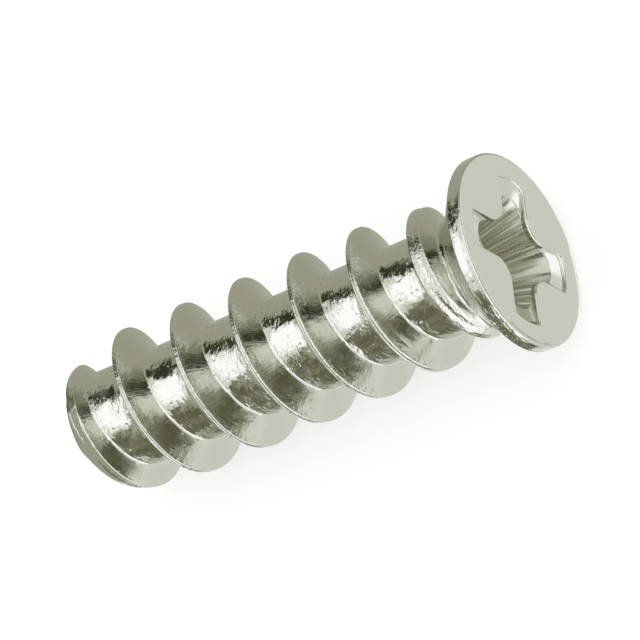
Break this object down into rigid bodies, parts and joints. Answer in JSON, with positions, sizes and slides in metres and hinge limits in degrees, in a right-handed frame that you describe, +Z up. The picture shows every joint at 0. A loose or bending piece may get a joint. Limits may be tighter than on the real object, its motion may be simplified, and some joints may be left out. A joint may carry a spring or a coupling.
{
  "type": "computer fan screw",
  "caption": "Short plated self-tapping screw with a coarse deep thread, a flat countersunk head with a thin rim, and a cross recess.",
  "frame": {"origin": "centre of the footprint, on the table that the screw lies on", "axes": "+X along the screw towards its head, which stands 2.8 degrees higher than the tip; +Z up from the table"},
  "size_m": [0.0152, 0.006, 0.006],
  "materials": {
    "nickel_plate": "bright nickel plate over steel"
  },
  "bodies": {
    "root": {"fan_screw": "nickel_plate"}
  },
  "joints": []
}
